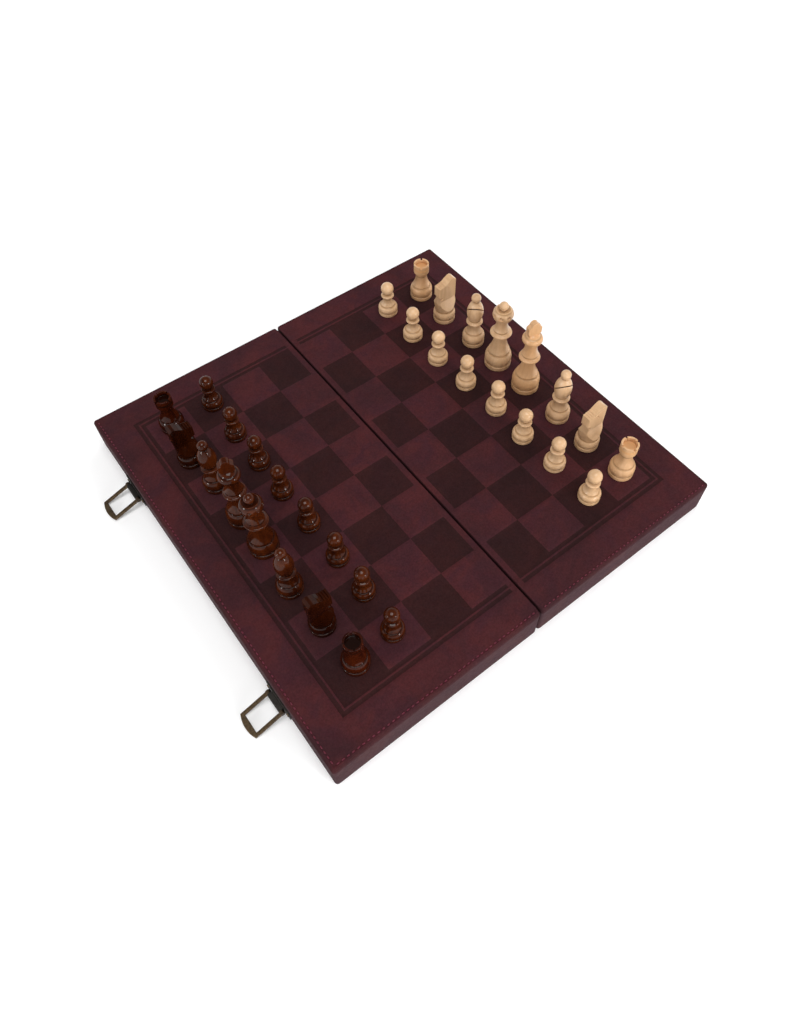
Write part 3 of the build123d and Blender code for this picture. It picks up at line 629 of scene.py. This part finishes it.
def cover_levels(stitch_inset):
    """The loops from the foot of the wall to the grid, as (inset, inset at the seam, height, material).
    A height of None is on the top's own surface. The material is that of the faces between a loop and
    the one before it."""
    wall_top = TOP - EDGE_RADIUS
    band_foot = TOP - EDGE_BAND
    # The wall's faces get the painted reflection of the floor
    levels = [(0.0, 0.0, band_foot * k / WALL_STEPS, WALL_REFLECTION_PLACE) for k in range(WALL_STEPS + 1)]
    # The band below the edge and most of the rounding get the edge's painted reflection
    for k in range(1, BAND_STEPS + 1):
        levels.append((0.0, 0.0, band_foot + (wall_top - band_foot) * k / BAND_STEPS, EDGE_REFLECTION_PLACE))
    for k in range(1, ROUND_STEPS + 1):
        angle = math.radians(90 * k / ROUND_STEPS)
        inset = EDGE_RADIUS * (1 - math.cos(angle))
        seam_inset = SEAM_EDGE_RADIUS * (1 - math.cos(angle))
        rise = EDGE_RADIUS * math.sin(angle)
        finish = EDGE_REFLECTION_PLACE if k <= EDGE_ROUND_STEPS else TOP_PLACE
        levels.append((inset, seam_inset, wall_top + rise, finish))
    flat = [stitch_inset + step for step in GROOVE_LOOPS] + [RIM_WIDTH]
    if stitch_inset - GROOVE_LEAD > EDGE_RADIUS:
        flat.insert(0, stitch_inset - GROOVE_LEAD)
    return levels + [(inset, inset, None, TOP_PLACE) for inset in flat]


def cover_mesh(side):
    """The leather of one half: side is -1 for the left half and 1 for the right.
    Loops run up the walls and over the rounded edge, and a grid fills the top."""
    changes = stamp_lines()
    lines_x = grid_lines(INNER + RIM_WIDTH, OUTER - RIM_WIDTH, [INNER + line for line in changes])
    both_ways = [-line for line in changes] + changes
    lines_y = grid_lines(-HALF_LENGTH + RIM_WIDTH, HALF_LENGTH - RIM_WIDTH, both_ways)
    bm = bmesh.new()
    levels = cover_levels(STITCH_INSETS[side])
    rings = []
    for inset, seam_inset, level, _ in levels:
        ring = []
        for u, v in outline(inset, seam_inset, lines_x, lines_y):
            height = cover_height(side, u, v) if level is None else level
            ring.append(bm.verts.new((side * u, v, height)))
        rings.append(ring)
    for low, high, (_, _, _, finish) in zip(rings, rings[1:], levels[1:]):
        for face in join_rings(bm, low, high):
            face.material_index = finish
    grid = [[bm.verts.new((side * u, v, cover_height(side, u, v))) for v in lines_y] for u in lines_x]
    for a in range(len(lines_x) - 1):
        for b in range(len(lines_y) - 1):
            face = bm.faces.new((grid[a][b], grid[a + 1][b], grid[a + 1][b + 1], grid[a][b + 1]))
            u = (lines_x[a] + lines_x[a + 1]) / 2 - INNER
            v = (lines_y[b] + lines_y[b + 1]) / 2
            face.material_index = STAMPED_PLACE if stamped_at(side * u, v) else TOP_PLACE
    bmesh.ops.remove_doubles(bm, verts=bm.verts, dist=MERGE_DISTANCE)
    return finished_mesh(bm, "cover")


# Stitching


def stitch_places(side):
    """Middle and direction of every stitch of one half, in mm: along its front edge, and
    on the left half along its outer edge too."""
    u1 = OUTER - STITCH_INSETS[side]
    v1 = HALF_LENGTH - STITCH_INSETS[side]
    runs = [((INNER + STITCH_SEAM_GAP, -v1), (u1 - STITCH_CORNER_GAP, -v1))]
    if side < 0:
        runs.append(((u1, -v1 + STITCH_CORNER_GAP), (u1, v1 - STITCH_CORNER_GAP)))
    places = []
    for (ua, va), (ub, vb) in runs:
        length = math.hypot(ub - ua, vb - va)
        count = round(length / STITCH_PITCH)
        along = Vector((side * (ub - ua) / length, (vb - va) / length, 0))
        for k in range(count):
            t = (k + 0.5) / count
            places.append((side * (ua + (ub - ua) * t), va + (vb - va) * t, along))
    return places


def thread_mesh(side):
    """All the stitches of one half: short arched lengths of thread that dive into their holes."""
    bm = bmesh.new()
    chance = random.Random(STITCH_SEED + side)
    for x, y, along in stitch_places(side):
        across = Vector((-along.y, along.x, 0))
        tilt = chance.uniform(-STITCH_TILT_SPREAD, STITCH_TILT_SPREAD) + STITCH_TILT
        along = (along + across * tilt).normalized()
        across = Vector((-along.y, along.x, 0))
        length = STITCH_LENGTH * chance.uniform(*STITCH_LENGTH_SPREAD)
        tube = []
        for k in range(THREAD_RINGS):
            t = k / (THREAD_RINGS - 1) * 2 - 1
            fall = abs(t) ** STITCH_ARCH_POWER
            centre = Vector((x, y, TOP - STITCH_SINK - STITCH_DIVE * fall)) + along * (t * length / 2)
            radius = STITCH_RADIUS * (1 - STITCH_TAPER * fall)
            ring = []
            for m in range(THREAD_SIDES):
                angle = 2 * math.pi * m / THREAD_SIDES
                rise = Vector((0, 0, radius * STITCH_FLATNESS * math.sin(angle)))
                ring.append(bm.verts.new(centre + (across * (radius * math.cos(angle)) + rise)))
            tube.append(ring)
        for low, high in zip(tube, tube[1:]):
            join_rings(bm, low, high)
        bm.faces.new(tube[0])
        bm.faces.new(tube[-1])
    return finished_mesh(bm, "thread")


for side, word in ((-1, "left"), (1, "right")):
    cover = mesh_object(f"{word}_cover", cover_mesh(side), COVER_MATERIALS, f"{word}_case")
    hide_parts(f"{word}_leather", f"{word}_stamped_squares")
    mesh_object(f"{word}_stitching", thread_mesh(side), [THREAD], f"{word}_case")


# Camera, floor and light. Distances and powers are in metres and watts.

FLOOR_REACH = 1.7
FLOOR_GLOW = 0.13
HORIZON_LIGHT = 1.0
ZENITH_LIGHT = 0.18
LAMP_TARGET = Vector((0, 0, 0.03))

camera_data = bpy.data.cameras.new("camera")
camera_data.lens = 27.497
camera_data.sensor_width = 36.0
camera_data.shift_x = -0.01802
camera_data.shift_y = -0.0412
camera_data.clip_start = 0.01
camera_data.clip_end = 20.0
camera = bpy.data.objects.new("camera", camera_data)
camera.location = (-0.196197, -0.302507, 0.533493)
camera.rotation_euler = (math.radians(34.7312), math.radians(-0.033), math.radians(-37.712))
bpy.context.scene.collection.objects.link(camera)
bpy.context.scene.camera = camera


def floor_material():
    """Pale paper with a little glow of its own to the camera, so that it is white where no shadow falls."""
    made, tree, out = material("paper")
    paper = shader(tree, out, (0.92, 0.92, 0.92), 0.9, Specular_IOR_Level=0.0)
    path = add(tree, "ShaderNodeLightPath")
    seen = path.outputs["Is Camera Ray"]
    for ray in ("Is Glossy Ray", "Is Transmission Ray"):
        total = add(tree, "ShaderNodeMath", operation="MAXIMUM")
        link(tree, seen, total.inputs[0])
        link(tree, path.outputs[ray], total.inputs[1])
        seen = total.outputs[0]
    link(tree, grey(tree, seen, low=0.0, high=FLOOR_GLOW), paper.inputs["Emission Strength"])
    paper.inputs["Emission Color"].default_value = (1, 1, 1, 1)
    return made


def add_floor():
    """A square of paper that the case stands on."""
    mesh = bpy.data.meshes.new("floor")
    bm = bmesh.new()
    bmesh.ops.create_grid(bm, x_segments=1, y_segments=1, size=FLOOR_REACH)
    bm.to_mesh(mesh)
    bm.free()
    floor = bpy.data.objects.new("floor", mesh)
    mesh.materials.append(floor_material())
    bpy.context.scene.collection.objects.link(floor)


def add_light(name, direction, distance, size, power, glossy=True):
    """A square lamp that looks at the middle of the board from a direction."""
    data = bpy.data.lights.new(name, "AREA")
    data.shape = "SQUARE"
    data.size = size
    data.energy = power
    lamp = bpy.data.objects.new(name, data)
    way = Vector(direction).normalized()
    lamp.location = way * distance + LAMP_TARGET
    lamp.rotation_mode = "QUATERNION"
    lamp.rotation_quaternion = way.to_track_quat("Z", "Y")
    lamp.visible_camera = False
    lamp.visible_glossy = glossy
    bpy.context.scene.collection.objects.link(lamp)


def add_world():
    """Even light from all round, white near the horizon and fainter above."""
    world = bpy.data.worlds.new("studio")
    world.use_nodes = True
    tree = world.node_tree
    tree.nodes.clear()
    out = add(tree, "ShaderNodeOutputWorld")
    coordinates = add(tree, "ShaderNodeTexCoord")
    parts = add(tree, "ShaderNodeSeparateXYZ")
    link(tree, coordinates.outputs["Generated"], parts.inputs["Vector"])
    white = add(tree, "ShaderNodeBackground", {"Color": (1, 1, 1, 1)})
    level = grey(tree, parts.outputs["Z"], HORIZON_LIGHT, ZENITH_LIGHT, start=0.25, end=0.6)
    link(tree, level, white.inputs["Strength"])
    link(tree, white.outputs["Background"], out.inputs["Surface"])
    bpy.context.scene.world = world


add_floor()
add_world()
add_light("overhead", (-0.092, -0.155, 0.984), distance=5.0, size=3.0, power=160.0)
add_light("left_lamp", (-0.973, 0.028, 0.254), distance=1.5, size=0.22, power=4.0)
add_light("front_lamp", (0.214, -0.925, 0.323), distance=1.5, size=0.22, power=4.0)
add_light("far_fill", (0.75, 0.45, 0.6), distance=1.8, size=0.9, power=6.0, glossy=False)
add_light("front_fill", (0.1, -0.98, 0.2), distance=2.0, size=1.0, power=16.0, glossy=False)

view = bpy.context.scene.view_settings
view.view_transform = "Standard"
